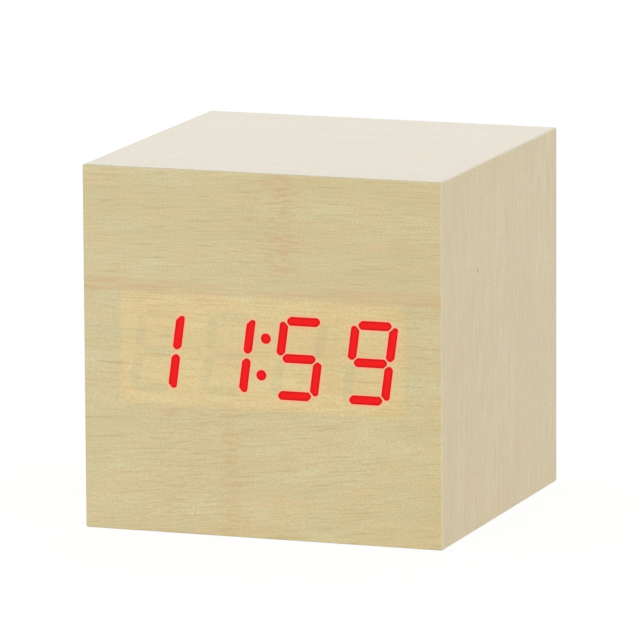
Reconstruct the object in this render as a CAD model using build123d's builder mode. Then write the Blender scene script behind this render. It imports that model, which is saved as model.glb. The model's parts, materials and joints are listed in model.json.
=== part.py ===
from build123d import *
import math
import os

# A cube-shaped digital alarm clock: red digits shine through the wood veneer of its front.
# Millimetres, +Z up. The origin lies on the table under the middle of the case.
# The front faces -Y; the buttons, the supply socket and the battery door are at the rear, on +Y.

# Case: board cores, all covered with veneer
CASE_WIDTH = 64.0
CASE_DEPTH = 62.5
CASE_HEIGHT = 62.5
CORE = 4.0
VENEER = 0.5
EDGE_ROUND = 0.3
BLOCK_SIDE = 6.0
BLOCK_LENGTH = 10.0

# Digits: seven bars each, leaning to the right, in a row a little right of the middle
DIGIT_HEIGHT = 14.3
DIGIT_WIDTH = 6.76
DIGIT_MARGIN = 2.78
DIGIT_SHIFT = 0.34
DIGIT_SLANT_DEGREES = 7.6
STROKE = 1.55
STROKE_FLAT = 0.5
STROKE_ROUND = 0.4
LEVEL_END_GAP = 0.45
UPRIGHT_MIDDLE_GAP = 0.4
UPRIGHT_CORNER_GAP = 0.15
UPRIGHT_CORNER_SHIFT = 0.25
COLON_DOT = 1.8
COLON_SPREAD = 6.3
LIT_BARS = ("bc", "bc", "acdfg", "abcdfg")

# Display module behind the front veneer
MODULE_WIDTH = 50.3
MODULE_HEIGHT = 19.0
MODULE_DEPTH = 7.0
WINDOW_GAP = 0.2
LED_POCKET = 1.2
LED_SIDE = 0.8
LED_HEIGHT = 0.5
PIN_ROW_INSET = 1.88
PIN_PITCH = 2.54
PINS_PER_ROW = 6
PIN_SIDE = 0.5
PIN_REACH = 3.0
PIN_GAP = 0.1

# Display board and what it carries
BOARD = 1.6
DISPLAY_BOARD_SIDE_GAP = 2.5
DISPLAY_BOARD_HEIGHT = 32.0
BOARD_SCREW_INSET = 4.0
BOARD_SCREW_RADIUS = 0.9
BOARD_SCREW_HEAD_RADIUS = 1.7
BOARD_SCREW_HEAD_HEIGHT = 1.2
BOARD_SCREW_BITE = 3.0
SCREW_GAP = 0.1
SPACER_RADIUS = 2.0
SPACER_GAP = 1.5
CHIP_WIDTH = 12.8
CHIP_HEIGHT = 7.5
CHIP_DEPTH = 2.3
CHIP_LIFT = 0.2
CHIP_LEADS_PER_SIDE = 10
CHIP_LEAD_PITCH = 1.27
CHIP_LEAD_WIDTH = 0.4
CHIP_LEAD_REACH = 1.3
CHIP_LEAD_DEPTH = 0.6
CRYSTAL_RADIUS = 1.0
CRYSTAL_LENGTH = 6.0
CRYSTAL_LIFT = 0.1
CRYSTAL_CHIP_GAP = 2.2
COIN_RADIUS = 6.25
COIN_DEPTH = 2.0
COIN_INSET = 8.5
CLIP_WIDTH = 4.0
CLIP_METAL = 0.3
CLIP_GAP = 0.2
BUZZER_RADIUS = 4.5
BUZZER_DEPTH = 5.5
BUZZER_PORT_RADIUS = 0.8
BUZZER_PORT_DEPTH = 1.0
BUZZER_INSET = 8.5
MICROPHONE_RADIUS = 2.0
MICROPHONE_DEPTH = 1.5
MICROPHONE_DROP = 11.0
RESISTOR_COUNT = 8
RESISTOR_PITCH = 3.2
RESISTOR_WIDTH = 1.25
RESISTOR_HEIGHT = 2.0
RESISTOR_DEPTH = 0.55
RESISTOR_DROP = 12.0

# Back plate, set into the rear of the case
PLATE = 2.4
PLATE_RECESS = 1.0
PLATE_GAP = 0.2
PLATE_SCREW_INSET = 3.2
PLATE_SCREW_RADIUS = 1.1
PLATE_SCREW_HEAD_RADIUS = 2.0
PLATE_SCREW_HEAD_HEIGHT = 1.2
PLATE_SCREW_LENGTH = 9.0
CROSS_LENGTH_SHARE = 1.1
CROSS_WIDTH_SHARE = 0.25
CROSS_DEPTH_SHARE = 0.5
TOP_STRIP = 11.0
SOUND_SLOTS = 5
SOUND_SLOT_WIDTH = 1.2
SOUND_SLOT_HEIGHT = 4.2
SOUND_SLOT_PITCH = 2.6
NOTCH_RADIUS = 7.0
NOTCH_RISE = 1.4
NOTCH_DEPTH = 1.2

# Buttons, their switches and the control board
BUTTON_NAMES = ("set", "up", "down")
BUTTON_RADIUS = 2.5
BUTTON_GAP = 0.15
BUTTON_PROUD = 0.7
BUTTON_ROUND = 0.4
BUTTON_FLANGE_RADIUS = 3.1
BUTTON_FLANGE = 0.8
BUTTON_PLAY = 0.05
BUTTON_TRAVEL = 0.5
FIRST_BUTTON_GAP = 0.9
LAST_BUTTON_GAP = 0.35
MARK_RADIUS = 1.1
MARK_STROKE = 0.35
MARK_DEPTH = 0.25
SWITCH_SIDE = 6.0
SWITCH_BODY = 3.5
SWITCH_HEIGHT = 4.3
PLUNGER_RADIUS = 1.7
PLUNGER_SEAT = 1.5
PLUNGER_GAP = 0.1
CONTROL_BOARD_SIDE_GAP = 0.7
CONTROL_BOARD_GAP = 0.4
POST_END_GAP = 1.0
POST_RADIUS = 1.7
POST_SCREW_RADIUS = 0.6
POST_SCREW_HEAD_RADIUS = 1.5
POST_SCREW_HEAD_HEIGHT = 1.0
POST_SCREW_BITE = 3.2

# Supply socket
JACK_SIDE = 6.4
JACK_END_GAP = 2.2
JACK_POST_GAP = 0.75
JACK_NOSE_RADIUS = 2.6
JACK_GAP = 0.15
JACK_BORE_RADIUS = 1.8
JACK_BORE_DEPTH = 7.0
JACK_PIN_RADIUS = 0.65
JACK_PIN_LENGTH = 6.2

# Battery bay for three cells of the AAA size, side by side
CELLS = 3
CELL_DIAMETER = 10.5
CELL_LENGTH = 44.5
CELL_BASE = 0.3
CELL_BASE_INSET = 0.85
CELL_CAP = 0.3
CELL_CAP_INSET = 1.05
CELL_NUB = 1.0
CELL_NUB_RADIUS = 1.9
CELL_ROUND = 0.6
CELL_GAP = 0.5
CELL_SIDE_GAP = 0.5
CELL_FLOOR_GAP = 0.2
CELL_COVER_GAP = 0.5
TRAY_WALL = 1.5
TRAY_SIDE_GAP = 0.8
TRAY_RIB_WIDTH = 1.2
TRAY_RIB_HEIGHT = 2.0
CONTACT = 0.4
CONTACT_SPACE = 3.0
CONTACT_INSET = 1.5
TAB_WIDTH = 2.0
TAB_REACH = 2.0
TAB_GAP = 0.1
SPRING_WIRE_RADIUS = 0.25
SPRING_WIDE_RADIUS = 3.2
SPRING_NARROW_RADIUS = 1.8
SPRING_TURNS = 3.5
SPRING_SAMPLES_PER_QUARTER = 6
SPRING_END_GAP = 0.05

# Battery door, which swings on two moulded pins at its lower edge
DOOR = 2.0
DOOR_GAP = 0.25
HINGE_PIN_RADIUS = 0.6
HINGE_PIN_GAP = 0.05
HINGE_PIN_LENGTH = 1.4
HINGE_PIN_END_GAP = 0.2
SNAP_BEAD_RADIUS = 0.15
SNAP_BEAD_LENGTH = 10.0
GRIP_COUNT = 4
GRIP_RADIUS = 0.4
GRIP_LENGTH = 12.0
GRIP_PITCH = 1.8
GRIP_INSET = 2.6

# Wiring inside the case
RIBBON_WIDTH = 7.6
RIBBON_DEPTH = 1.0
RIBBON_ROUND_SHARE = 0.45
RIBBON_RUN_SHARE = 0.3
BEND_SHARE = 0.45
HEADER_WIDTH = 9.0
HEADER_HEIGHT = 3.0
HEADER_DEPTH = 4.0
RIBBON_LIFT = 12.5
LEAD_RADIUS = 0.6
LEAD_RUN = 5.0
LEAD_INSET = 7.3

# All cuts run past the material by this much
OVERRUN = 1.0

# Faces of the case
wall = CORE + VENEER
half_width = CASE_WIDTH / 2
core_half_width = half_width - VENEER
inner_half_width = half_width - wall
middle_z = CASE_HEIGHT / 2
inner_half_height = middle_z - wall
floor_z = wall
ceiling_z = CASE_HEIGHT - wall
front_y = -CASE_DEPTH / 2
rear_y = CASE_DEPTH / 2
panel_front_y = front_y + VENEER
panel_rear_y = panel_front_y + CORE
band_front_y = rear_y - VENEER

# Faces of the display, whose board spans the case between its side panels
digit_pitch = (MODULE_WIDTH - 2 * DIGIT_MARGIN - DIGIT_WIDTH) / (len(LIT_BARS) - 1)
bar_rise = (DIGIT_HEIGHT - STROKE) / 2
pin_row_spread = MODULE_HEIGHT - 2 * PIN_ROW_INSET
display_board_width = 2 * (inner_half_width - DISPLAY_BOARD_SIDE_GAP)
board_screw_spread_x = display_board_width - 2 * BOARD_SCREW_INSET
board_screw_spread_z = MODULE_HEIGHT + 2 * (SPACER_GAP + SPACER_RADIUS)
crystal_x = CHIP_WIDTH / 2 + CRYSTAL_CHIP_GAP + CRYSTAL_RADIUS
coin_x = COIN_INSET - display_board_width / 2
buzzer_x = display_board_width / 2 - BUZZER_INSET
module_rear_y = panel_front_y + MODULE_DEPTH
board_rear_y = module_rear_y + BOARD

# Faces at the rear
plate_rear_y = rear_y - PLATE_RECESS
plate_front_y = plate_rear_y - PLATE
plate_half_width = inner_half_width - PLATE_GAP
door_front_y = plate_rear_y - DOOR
bay_half_length = inner_half_width - TRAY_SIDE_GAP - TRAY_WALL
bay_height = CELLS * CELL_DIAMETER + (CELLS - 1) * CELL_GAP + 2 * CELL_SIDE_GAP
bay_top_z = ceiling_z - TOP_STRIP
bay_bottom_z = bay_top_z - bay_height
tray_top_z = bay_top_z + TRAY_WALL
tray_bottom_z = bay_bottom_z - TRAY_WALL
contact_x = bay_half_length - CONTACT

# The cells fill the height of the bay, and a spring takes up what they leave of its length
spring_room = 2 * contact_x - CELL_LENGTH
cell_radius = CELL_DIAMETER / 2
cell_pitch = CELL_DIAMETER + CELL_GAP
cell_z = [bay_bottom_z + CELL_SIDE_GAP + cell_radius + row * cell_pitch for row in range(CELLS)]
cell_y = door_front_y - CELL_COVER_GAP - cell_radius
tray_floor_y = cell_y - cell_radius - CELL_FLOOR_GAP
tray_front_y = tray_floor_y - TRAY_WALL

# Faces of the buttons and of the control board behind the strip over the battery door
flange_rear_y = plate_front_y - BUTTON_PLAY
flange_front_y = flange_rear_y - BUTTON_FLANGE
control_rear_y = flange_front_y - SWITCH_HEIGHT
control_front_y = control_rear_y - BOARD
control_bottom_z = tray_top_z + CONTROL_BOARD_GAP
control_top_z = ceiling_z - CONTROL_BOARD_GAP
button_z = (control_bottom_z + control_top_z) / 2

# Places along the control board: a post, the buttons, the other post and the supply socket
control_half_width = inner_half_width - BLOCK_SIDE - CONTROL_BOARD_SIDE_GAP
jack_x = JACK_END_GAP + JACK_SIDE / 2 - control_half_width
post_x = (
    control_half_width - POST_END_GAP - POST_RADIUS,
    jack_x + JACK_SIDE / 2 + JACK_POST_GAP + POST_RADIUS,
)
first_button_x = post_x[0] - POST_RADIUS - FIRST_BUTTON_GAP - BUTTON_FLANGE_RADIUS
last_button_x = post_x[1] + POST_RADIUS + LAST_BUTTON_GAP + BUTTON_FLANGE_RADIUS
button_pitch = (first_button_x - last_button_x) / (len(BUTTON_NAMES) - 1)
button_x = [first_button_x - place * button_pitch for place in range(len(BUTTON_NAMES))]

# Hinge line of the battery door
hinge_y = plate_rear_y - DOOR / 2
hinge_z = bay_bottom_z + DOOR_GAP + DOOR / 2
door_top_z = bay_top_z - DOOR_GAP
door_half_length = bay_half_length - DOOR_GAP


def block(low, high, mode=Mode.ADD):
    """A box between two opposite corners, for the part being built."""
    with Locations((Vector(*low) + Vector(*high)) / 2):
        Box(*[abs(b - a) for a, b in zip(low, high)], mode=mode)


def rod(radius, start, end, mode=Mode.ADD):
    """A round bar between two points, for the part being built."""
    run = Vector(*end) - Vector(*start)
    with Locations(Plane(Vector(*start), z_dir=run)):
        Cylinder(radius, run.length, align=(Align.CENTER, Align.CENTER, Align.MIN), mode=mode)


def taper(start_radius, end_radius, start, end, mode=Mode.ADD):
    """A cone between two points, for the part being built."""
    run = Vector(*end) - Vector(*start)
    with Locations(Plane(Vector(*start), z_dir=run)):
        Cone(start_radius, end_radius, run.length, align=(Align.CENTER, Align.CENTER, Align.MIN), mode=mode)


def on_board(x, z, width, height, depth, lift=0):
    """A box that sits on the rear of the display board, placed from the middle of the display."""
    block(
        (x - width / 2, board_rear_y + lift, middle_z + z - height / 2),
        (x + width / 2, board_rear_y + depth, middle_z + z + height / 2),
    )


def save(builder, name):
    """Label a finished piece and write it."""
    builder.part.label = name
    export_step(builder.part, f"parts/{name}.step")


os.makedirs("parts", exist_ok=True)


def front_view(y):
    """A plane seen from the front, its middle on the middle of the display."""
    return Plane((0, y, middle_z), x_dir=(1, 0, 0), z_dir=(0, -1, 0))


def rear_view(x, y, z):
    """A plane seen from the rear."""
    return Plane((x, y, z), x_dir=(-1, 0, 0), z_dir=(0, 1, 0))


def slanted(x, z):
    """A point of an upright digit, leaned over by the slant and moved with the whole row."""
    return (x + z * math.tan(math.radians(DIGIT_SLANT_DEGREES)) + DIGIT_SHIFT, z)


def digit_bars(lit):
    """Places of the bars that are lit, or of those that are not, each with whether it stands upright."""
    side = DIGIT_WIDTH / 2
    bars = {
        "a": (0, bar_rise, False),
        "b": (side, bar_rise / 2, True),
        "c": (side, -bar_rise / 2, True),
        "d": (0, -bar_rise, False),
        "e": (-side, -bar_rise / 2, True),
        "f": (-side, bar_rise / 2, True),
        "g": (0, 0, False),
    }
    places = []
    for digit, lit_names in enumerate(LIT_BARS):
        digit_x = (digit - (len(LIT_BARS) - 1) / 2) * digit_pitch
        for name, (x, z, upright) in bars.items():
            if (name in lit_names) == lit:
                places.append((digit_x, x, z, upright))
    return places


def bar_end(tip, shift):
    """Corners round one end of a bar: a blunt tip, shifted across the bar, between two cuts at 45 degrees."""
    side = STROKE / 2
    low = shift - STROKE_FLAT / 2
    high = shift + STROKE_FLAT / 2
    return [(tip - side - low, -side), (tip, low), (tip, high), (tip - side + high, side)]


def bar_corners(digit_x, x, z, upright):
    """The eight corners of one bar. An upright bar reaches out into its corner of the digit."""
    if upright:
        first = bar_end(bar_rise / 2 - UPRIGHT_CORNER_GAP, UPRIGHT_CORNER_SHIFT)
        second = bar_end(bar_rise / 2 - UPRIGHT_MIDDLE_GAP, 0)
    else:
        first = second = bar_end(DIGIT_WIDTH / 2 - LEVEL_END_GAP, 0)
    outline = first + [(-along, -across) for along, across in second]
    if upright:
        outward = math.copysign(1, x)
        upward = math.copysign(1, z)
        corners = [(x + outward * across, z + upward * along) for along, across in outline]
    else:
        corners = [(x + along, z + across) for along, across in outline]
    leaned = [slanted(*corner) for corner in corners]
    return [(digit_x + corner_x, corner_z) for corner_x, corner_z in leaned]


colon_dots = [slanted(0, side * COLON_SPREAD / 2) for side in (-1, 1)]


def bar_outlines(lit):
    """Rounded outlines of the lit or of the unlit bars, on the front face of the case."""
    with BuildSketch(front_view(front_y)) as outlines:
        for bar in digit_bars(lit):
            with BuildLine():
                Polyline(*bar_corners(*bar), close=True)
            make_face()
        fillet(outlines.vertices(), radius=STROKE_ROUND)
        if lit:
            with Locations(*colon_dots):
                Circle(COLON_DOT / 2)
    return outlines.sketch


lit_outlines = bar_outlines(True)
unlit_outlines = bar_outlines(False)

# Front panel core with the window that the display module fills
board_screw_places = [
    (side_x * board_screw_spread_x / 2, middle_z + side_z * board_screw_spread_z / 2)
    for side_x in (-1, 1)
    for side_z in (-1, 1)
]
with BuildPart() as front_panel:
    block((-core_half_width, panel_front_y, VENEER), (core_half_width, panel_rear_y, CASE_HEIGHT - VENEER))
    with BuildSketch(front_view(panel_rear_y)):
        Rectangle(MODULE_WIDTH + 2 * WINDOW_GAP, MODULE_HEIGHT + 2 * WINDOW_GAP)
    extrude(amount=CORE + OVERRUN, mode=Mode.SUBTRACT)
    for x, z in board_screw_places:
        pilot = BOARD_SCREW_RADIUS + SCREW_GAP
        rod(pilot, (x, panel_rear_y - BOARD_SCREW_BITE - SCREW_GAP, z), (x, panel_rear_y, z), Mode.SUBTRACT)
save(front_panel, "front_panel")


def wall_panel(name, outward, along, outer_half, inner_half, face):
    """One mitred board of the box, drawn from its inner face outwards and run from front to rear."""
    outer = face + CORE
    outline = [(-inner_half, face), (inner_half, face), (outer_half, outer), (-outer_half, outer)]
    with BuildPart() as panel:
        with BuildSketch(Plane((0, panel_rear_y, middle_z), x_dir=along, z_dir=(0, 1, 0))):
            with BuildLine():
                Polyline(*[(x, y * outward) for x, y in outline], close=True)
            make_face()
        extrude(amount=band_front_y - panel_rear_y)
    save(panel, name)


for name, outward in (("bottom_panel", 1), ("top_panel", -1)):
    wall_panel(name, outward, (1, 0, 0), core_half_width, inner_half_width, inner_half_height)
for name, outward in (("right_panel", 1), ("left_panel", -1)):
    wall_panel(name, outward, (0, 0, 1), middle_z - VENEER, inner_half_height, inner_half_width)

# Front veneer, opened where the light guides come through
with BuildPart() as front_veneer:
    block((-half_width, front_y, 0), (half_width, panel_front_y, CASE_HEIGHT))
    fillet(front_veneer.edges().filter_by_position(Axis.Y, front_y, panel_front_y - VENEER / 4), EDGE_ROUND)
    extrude(lit_outlines, amount=VENEER + OVERRUN, both=True, mode=Mode.SUBTRACT)
    extrude(unlit_outlines, amount=VENEER + OVERRUN, both=True, mode=Mode.SUBTRACT)
save(front_veneer, "front_veneer")

# Top and bottom veneer, which cover the edges of the side veneers
for name, low_z in (("bottom_veneer", 0), ("top_veneer", CASE_HEIGHT - VENEER)):
    with BuildPart() as sheet:
        block((-half_width, panel_front_y, low_z), (half_width, band_front_y, low_z + VENEER))
        long_edges = sheet.edges().filter_by(Axis.Y).group_by(Axis.Z)
        fillet(long_edges[0] if low_z == 0 else long_edges[-1], EDGE_ROUND)
    save(sheet, name)

for name, side in (("left_veneer", -1), ("right_veneer", 1)):
    with BuildPart() as sheet:
        block(
            (side * core_half_width, panel_front_y, VENEER),
            (side * half_width, band_front_y, CASE_HEIGHT - VENEER),
        )
    save(sheet, name)

# Veneer band on the rear edges of the box
with BuildPart() as rear_edge_band:
    block((-half_width, band_front_y, 0), (half_width, rear_y, CASE_HEIGHT))
    fillet(rear_edge_band.edges().filter_by_position(Axis.Y, band_front_y + VENEER / 4, rear_y), EDGE_ROUND)
    block(
        (-inner_half_width, band_front_y - OVERRUN, floor_z),
        (inner_half_width, rear_y + OVERRUN, ceiling_z),
        Mode.SUBTRACT,
    )
save(rear_edge_band, "rear_edge_band")

# Glue blocks in the rear corners of the box, drilled for the back plate's screws
plate_screw_places = [
    (side * (inner_half_width - PLATE_SCREW_INSET), z)
    for side in (-1, 1)
    for z in (floor_z + PLATE_SCREW_INSET, ceiling_z - PLATE_SCREW_INSET)
]
with BuildPart() as corner_blocks:
    for side in (-1, 1):
        for low_z in (floor_z, ceiling_z - BLOCK_SIDE):
            block(
                (side * (inner_half_width - BLOCK_SIDE), plate_front_y - BLOCK_LENGTH, low_z),
                (side * inner_half_width, plate_front_y, low_z + BLOCK_SIDE),
            )
    for x, z in plate_screw_places:
        tip_y = plate_rear_y - PLATE_SCREW_LENGTH - SCREW_GAP
        rod(PLATE_SCREW_RADIUS + SCREW_GAP, (x, tip_y, z), (x, plate_front_y, z), Mode.SUBTRACT)
save(corner_blocks, "corner_blocks")

# Display module: the reflector block has a light well behind each bar
guide_depth = VENEER + MODULE_DEPTH - LED_POCKET
with BuildPart() as display_reflector:
    with BuildSketch(front_view(module_rear_y)):
        Rectangle(MODULE_WIDTH, MODULE_HEIGHT)
    extrude(amount=MODULE_DEPTH)
    for outlines in (lit_outlines, unlit_outlines):
        extrude(outlines, amount=-(VENEER + MODULE_DEPTH + OVERRUN), mode=Mode.SUBTRACT)
save(display_reflector, "display_reflector")

with BuildPart() as lit_segments:
    extrude(lit_outlines, amount=-guide_depth)
save(lit_segments, "lit_segments")

with BuildPart() as unlit_segments:
    extrude(unlit_outlines, amount=-guide_depth)
save(unlit_segments, "unlit_segments")

# One light-emitting chip on the board behind each bar and each dot
led_places = list(colon_dots)
for digit_x, x, z, upright in digit_bars(True) + digit_bars(False):
    led_x, led_z = slanted(x, z)
    led_places.append((digit_x + led_x, led_z))
with BuildPart() as led_chips:
    with BuildSketch(front_view(module_rear_y)):
        with Locations(*led_places):
            Rectangle(LED_SIDE, LED_SIDE)
    extrude(amount=LED_HEIGHT)
save(led_chips, "led_chips")

# Two rows of pins join the module to its board
with BuildPart() as display_pins:
    with BuildSketch(front_view(module_rear_y)):
        with GridLocations(PIN_PITCH, pin_row_spread, PINS_PER_ROW, 2):
            Rectangle(PIN_SIDE, PIN_SIDE)
    extrude(amount=-PIN_REACH)
save(display_pins, "display_pins")

with BuildPart() as display_board:
    with BuildSketch(front_view(board_rear_y)):
        Rectangle(display_board_width, DISPLAY_BOARD_HEIGHT)
        with GridLocations(PIN_PITCH, pin_row_spread, PINS_PER_ROW, 2):
            Rectangle(PIN_SIDE + 2 * PIN_GAP, PIN_SIDE + 2 * PIN_GAP, mode=Mode.SUBTRACT)
        with GridLocations(board_screw_spread_x, board_screw_spread_z, 2, 2):
            Circle(BOARD_SCREW_RADIUS + SCREW_GAP, mode=Mode.SUBTRACT)
    extrude(amount=BOARD)
save(display_board, "display_board")

with BuildPart() as board_spacers:
    with BuildSketch(front_view(module_rear_y)):
        with GridLocations(board_screw_spread_x, board_screw_spread_z, 2, 2):
            Circle(SPACER_RADIUS)
            Circle(BOARD_SCREW_RADIUS + SCREW_GAP, mode=Mode.SUBTRACT)
    extrude(amount=module_rear_y - panel_rear_y)
save(board_spacers, "board_spacers")


def cross_recess(x, y, z, head_radius, head_height, inward):
    """The cross that the driver fits, cut into a screw head at its outer face."""
    long_half = CROSS_LENGTH_SHARE * head_radius / 2
    short_half = CROSS_WIDTH_SHARE * head_radius / 2
    depth_y = y + inward * CROSS_DEPTH_SHARE * head_height
    for half_x, half_z in ((long_half, short_half), (short_half, long_half)):
        block((x - half_x, y, z - half_z), (x + half_x, depth_y, z + half_z), Mode.SUBTRACT)


with BuildPart() as board_screws:
    for x, z in board_screw_places:
        head_y = board_rear_y + BOARD_SCREW_HEAD_HEIGHT
        rod(BOARD_SCREW_HEAD_RADIUS, (x, board_rear_y, z), (x, head_y, z))
        rod(BOARD_SCREW_RADIUS, (x, panel_rear_y - BOARD_SCREW_BITE, z), (x, board_rear_y, z))
        cross_recess(x, head_y, z, BOARD_SCREW_HEAD_RADIUS, BOARD_SCREW_HEAD_HEIGHT, -1)
save(board_screws, "board_screws")

# What the display board carries on its rear
with BuildPart() as clock_chip:
    on_board(0, 0, CHIP_WIDTH, CHIP_HEIGHT, CHIP_DEPTH, CHIP_LIFT)
    for lead in range(CHIP_LEADS_PER_SIDE):
        lead_x = (lead - (CHIP_LEADS_PER_SIDE - 1) / 2) * CHIP_LEAD_PITCH
        on_board(lead_x, 0, CHIP_LEAD_WIDTH, CHIP_HEIGHT + 2 * CHIP_LEAD_REACH, CHIP_LEAD_DEPTH)
save(clock_chip, "clock_chip")

with BuildPart() as clock_crystal:
    crystal_y = board_rear_y + CRYSTAL_LIFT + CRYSTAL_RADIUS
    rod(
        CRYSTAL_RADIUS,
        (crystal_x, crystal_y, middle_z - CRYSTAL_LENGTH / 2),
        (crystal_x, crystal_y, middle_z + CRYSTAL_LENGTH / 2),
    )
save(clock_crystal, "clock_crystal")

with BuildPart() as resistors:
    for place in range(RESISTOR_COUNT):
        x = (place - (RESISTOR_COUNT - 1) / 2) * RESISTOR_PITCH
        on_board(x, -RESISTOR_DROP, RESISTOR_WIDTH, RESISTOR_HEIGHT, RESISTOR_DEPTH)
save(resistors, "resistors")

coin_rear_y = board_rear_y + COIN_DEPTH
with BuildPart() as backup_cell:
    rod(COIN_RADIUS, (coin_x, board_rear_y, middle_z), (coin_x, coin_rear_y, middle_z))
save(backup_cell, "backup_cell")

with BuildPart() as backup_cell_clip:
    clip_inner = COIN_RADIUS + CLIP_GAP
    clip_outer = clip_inner + CLIP_METAL
    clip_depth = COIN_DEPTH + CLIP_METAL
    on_board(coin_x, 0, 2 * clip_outer, CLIP_WIDTH, clip_depth, COIN_DEPTH)
    for side in (-1, 1):
        on_board(coin_x + side * (clip_inner + CLIP_METAL / 2), 0, CLIP_METAL, CLIP_WIDTH, clip_depth)
save(backup_cell_clip, "backup_cell_clip")

with BuildPart() as alarm_buzzer:
    buzzer_rear_y = board_rear_y + BUZZER_DEPTH
    rod(BUZZER_RADIUS, (buzzer_x, board_rear_y, middle_z), (buzzer_x, buzzer_rear_y, middle_z))
    port_y = buzzer_rear_y - BUZZER_PORT_DEPTH
    rod(BUZZER_PORT_RADIUS, (buzzer_x, port_y, middle_z), (buzzer_x, buzzer_rear_y, middle_z), Mode.SUBTRACT)
save(alarm_buzzer, "alarm_buzzer")

with BuildPart() as microphone:
    capsule_z = middle_z - MICROPHONE_DROP
    capsule_y = board_rear_y + MICROPHONE_DEPTH
    rod(MICROPHONE_RADIUS, (buzzer_x, board_rear_y, capsule_z), (buzzer_x, capsule_y, capsule_z))
save(microphone, "microphone")

# Back plate with the battery opening, the button strip over it and the sound slots under it
slot_z = (floor_z + PLATE_GAP + tray_bottom_z) / 2
with BuildPart() as back_plate:
    block(
        (-plate_half_width, plate_front_y, floor_z + PLATE_GAP),
        (plate_half_width, plate_rear_y, ceiling_z - PLATE_GAP),
    )
    block(
        (-bay_half_length, plate_front_y - OVERRUN, bay_bottom_z),
        (bay_half_length, plate_rear_y + OVERRUN, bay_top_z),
        Mode.SUBTRACT,
    )
    notch_z = bay_top_z + NOTCH_RISE - NOTCH_RADIUS
    rod(NOTCH_RADIUS, (0, plate_rear_y - NOTCH_DEPTH, notch_z), (0, plate_rear_y, notch_z), Mode.SUBTRACT)
    for side in (-1, 1):
        hole_x = bay_half_length - DOOR_GAP + HINGE_PIN_LENGTH + HINGE_PIN_END_GAP
        rod(
            HINGE_PIN_RADIUS + HINGE_PIN_GAP,
            (0, hinge_y, hinge_z),
            (side * hole_x, hinge_y, hinge_z),
            Mode.SUBTRACT,
        )
    for x in post_x:
        rod(POST_RADIUS, (x, control_rear_y, button_z), (x, plate_front_y, button_z))
        pilot_y = control_rear_y + POST_SCREW_BITE + SCREW_GAP
        pilot = POST_SCREW_RADIUS + SCREW_GAP
        rod(pilot, (x, control_rear_y, button_z), (x, pilot_y, button_z), Mode.SUBTRACT)
    through_front_y = plate_front_y - OVERRUN
    through_rear_y = plate_rear_y + OVERRUN
    round_holes = [(x, BUTTON_RADIUS + BUTTON_GAP) for x in button_x]
    round_holes.append((jack_x, JACK_NOSE_RADIUS + JACK_GAP))
    for x, radius in round_holes:
        rod(radius, (x, through_front_y, button_z), (x, through_rear_y, button_z), Mode.SUBTRACT)
    for x, z in plate_screw_places:
        rod(PLATE_SCREW_RADIUS + SCREW_GAP, (x, through_front_y, z), (x, plate_rear_y, z), Mode.SUBTRACT)
        taper(
            PLATE_SCREW_RADIUS + SCREW_GAP,
            PLATE_SCREW_HEAD_RADIUS + SCREW_GAP,
            (x, plate_rear_y - PLATE_SCREW_HEAD_HEIGHT, z),
            (x, plate_rear_y, z),
            Mode.SUBTRACT,
        )
    with BuildSketch(rear_view(0, plate_rear_y, slot_z)):
        with GridLocations(SOUND_SLOT_PITCH, SOUND_SLOT_HEIGHT, SOUND_SLOTS, 1):
            SlotOverall(SOUND_SLOT_HEIGHT, SOUND_SLOT_WIDTH, rotation=90)
    extrude(amount=-(PLATE + OVERRUN), mode=Mode.SUBTRACT)
save(back_plate, "back_plate")

with BuildPart() as back_plate_screws:
    for x, z in plate_screw_places:
        neck_y = plate_rear_y - PLATE_SCREW_HEAD_HEIGHT
        taper(PLATE_SCREW_RADIUS, PLATE_SCREW_HEAD_RADIUS, (x, neck_y, z), (x, plate_rear_y, z))
        rod(PLATE_SCREW_RADIUS, (x, plate_rear_y - PLATE_SCREW_LENGTH, z), (x, neck_y, z))
        cross_recess(x, plate_rear_y, z, PLATE_SCREW_HEAD_RADIUS, PLATE_SCREW_HEAD_HEIGHT, -1)
save(back_plate_screws, "back_plate_screws")

# Control board on two posts of the back plate
with BuildPart() as control_board:
    block(
        (-control_half_width, control_front_y, control_bottom_z),
        (control_half_width, control_rear_y, control_top_z),
    )
    for x in post_x:
        hole = POST_SCREW_RADIUS + SCREW_GAP
        rod(hole, (x, control_front_y, button_z), (x, control_rear_y, button_z), Mode.SUBTRACT)
save(control_board, "control_board")

with BuildPart() as control_board_screws:
    for x in post_x:
        head_y = control_front_y - POST_SCREW_HEAD_HEIGHT
        rod(POST_SCREW_HEAD_RADIUS, (x, head_y, button_z), (x, control_front_y, button_z))
        tip_y = control_rear_y + POST_SCREW_BITE
        rod(POST_SCREW_RADIUS, (x, control_front_y, button_z), (x, tip_y, button_z))
        cross_recess(x, head_y, button_z, POST_SCREW_HEAD_RADIUS, POST_SCREW_HEAD_HEIGHT, 1)
save(control_board_screws, "control_board_screws")

# Switches: each plunger runs in its body and is pressed by a button cap
switch_rear_y = control_rear_y + SWITCH_BODY
plunger_front_y = switch_rear_y - PLUNGER_SEAT
with BuildPart() as switch_bodies:
    for x in button_x:
        half_side = SWITCH_SIDE / 2
        block(
            (x - half_side, control_rear_y, button_z - half_side),
            (x + half_side, switch_rear_y, button_z + half_side),
        )
        well_y = plunger_front_y - BUTTON_TRAVEL - PLUNGER_GAP
        well_radius = PLUNGER_RADIUS + PLUNGER_GAP
        rod(well_radius, (x, well_y, button_z), (x, switch_rear_y, button_z), Mode.SUBTRACT)
save(switch_bodies, "switch_bodies")

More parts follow.
